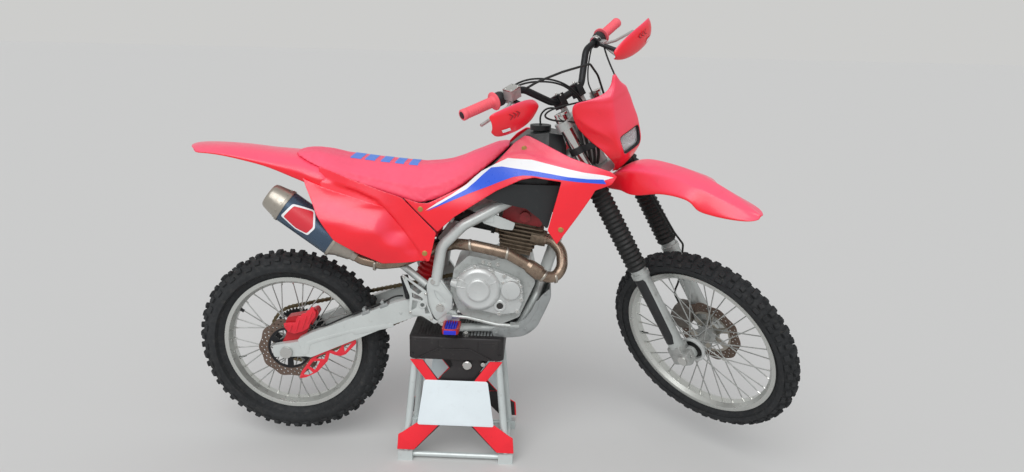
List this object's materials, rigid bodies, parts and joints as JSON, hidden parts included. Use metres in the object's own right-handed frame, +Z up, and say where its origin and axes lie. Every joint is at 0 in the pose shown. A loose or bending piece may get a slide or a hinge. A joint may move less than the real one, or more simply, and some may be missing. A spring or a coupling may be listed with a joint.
{
  "type": "dirt bike on a paddock stand",
  "caption": "Off-road motorcycle with knobby tyres, open air-cooled engine, long seat, high fenders and turned bars, held on a low paddock stand",
  "frame": {"origin": "on the floor, in the middle of the paddock stand's four feet and in the bike's middle plane", "axes": "+X points forward, the way the bike rides; +Y points to the rider's left; +Z points up. The bars are turned to the right stop at rest"},
  "size_m": [2.0288, 0.6889, 1.4962],
  "materials": {
    "tyre": "moulded knobby rubber, dull",
    "rim_alloy": "polished alloy with fine turning marks",
    "hub_alloy": "cast alloy, satin",
    "disc_steel": "ground steel, swept by the pads",
    "frame_paint": "silver grey paint, satin",
    "dark_steel": "dark plated steel",
    "bright_steel": "hard chrome plate",
    "case_alloy": "cast alloy, lightly polished",
    "fin_alloy": "heat-stained cast alloy with dirt",
    "header_cover_paint": "red-brown painted alloy",
    "header_steel": "steel pipe turned bronze by heat",
    "can_alloy": "blue-grey anodised can, brushed",
    "black_plastic": "moulded, fine grain",
    "red_plastic": "moulded, glossy with light scuffs",
    "red_alloy": "red anodised alloy",
    "seat_cover": "grained vinyl, red with blue blocks",
    "tank_plastic": "moulded black tank, semi gloss",
    "grip_rubber": "red ribbed rubber",
    "black_rubber": "soft ribbed rubber",
    "lens": "clear lens over a bright reflector",
    "spring_paint": "red sprayed coil",
    "skid_grey": "grey folded sheet with scratches",
    "deck_plastic": "moulded black deck",
    "stand_silver": "silver tube",
    "stand_red": "red powder coat",
    "white_panel": "blank white sheet"
  },
  "bodies": {
    "chassis": {"air_box": "black_plastic", "crankcase": "case_alloy", "cylinder": "fin_alloy", "drive_chain": "dark_steel", "drive_sprocket": "dark_steel", "engine_covers": "case_alloy", "exhaust_header": "header_steel", "foot_controls": "case_alloy", "footpegs": "red_alloy", "fuel_tank": "tank_plastic", "head_cover": "header_cover_paint", "heel_guards": "frame_paint", "main_frame": "frame_paint", "muffler": "can_alloy", "rear_axle": "bright_steel", "rear_caliper": "red_alloy", "rear_fender": "red_plastic", "rear_master_cylinder": "dark_steel", "seat": "seat_cover", "shock_absorber": "dark_steel", "shock_spring": "spring_paint", "side_panels": "red_plastic", "skid_plate": "skid_grey", "stand_braces": "stand_red", "stand_deck": "deck_plastic", "stand_legs": "stand_silver", "stand_panels": "white_panel", "subframe": "frame_paint", "swingarm": "frame_paint", "swingarm_guards": "red_alloy", "tank_cap": "black_plastic", "tank_shrouds": "red_plastic", "throttle_body": "black_rubber"},
    "rear_wheel": {"rear_tyre": "tyre", "rear_rim": "rim_alloy", "rear_hub": "hub_alloy", "rear_disc": "disc_steel", "rear_sprocket": "dark_steel"},
    "front_wheel": {"front_tyre": "tyre", "front_rim": "rim_alloy", "front_hub": "hub_alloy", "front_disc": "disc_steel"},
    "steering": {"triple_clamps": "case_alloy", "fork_stanchions": "bright_steel", "fork_sliders": "case_alloy", "fork_gaiters": "black_rubber", "front_axle": "bright_steel", "front_fender": "red_plastic", "headlight_cowl": "red_plastic", "cowl_brackets": "black_rubber", "headlight": "lens", "handlebar": "dark_steel", "grips": "grip_rubber", "hand_guards": "red_plastic", "hand_controls": "case_alloy", "front_caliper": "red_alloy", "brake_hose": "black_rubber"}
  },
  "joints": [
    {"name": "steering", "type": "hinge", "parent": "chassis", "child": "steering", "pos_m": [0.79502, 0, 0.42585], "axis": [-0.4848, 0, 0.8746], "range_deg": [0, 90]},
    {"name": "rear_wheel_spin", "type": "hinge", "parent": "chassis", "child": "rear_wheel", "pos_m": [-0.582, 0, 0.374], "axis": [0, 1, 0], "continuous": true},
    {"name": "front_wheel_spin", "type": "hinge", "parent": "steering", "child": "front_wheel", "pos_m": [0.82965, -0.0396, 0.44505], "axis": [0.6184, 0.7071, 0.3428], "continuous": true}
  ]
}
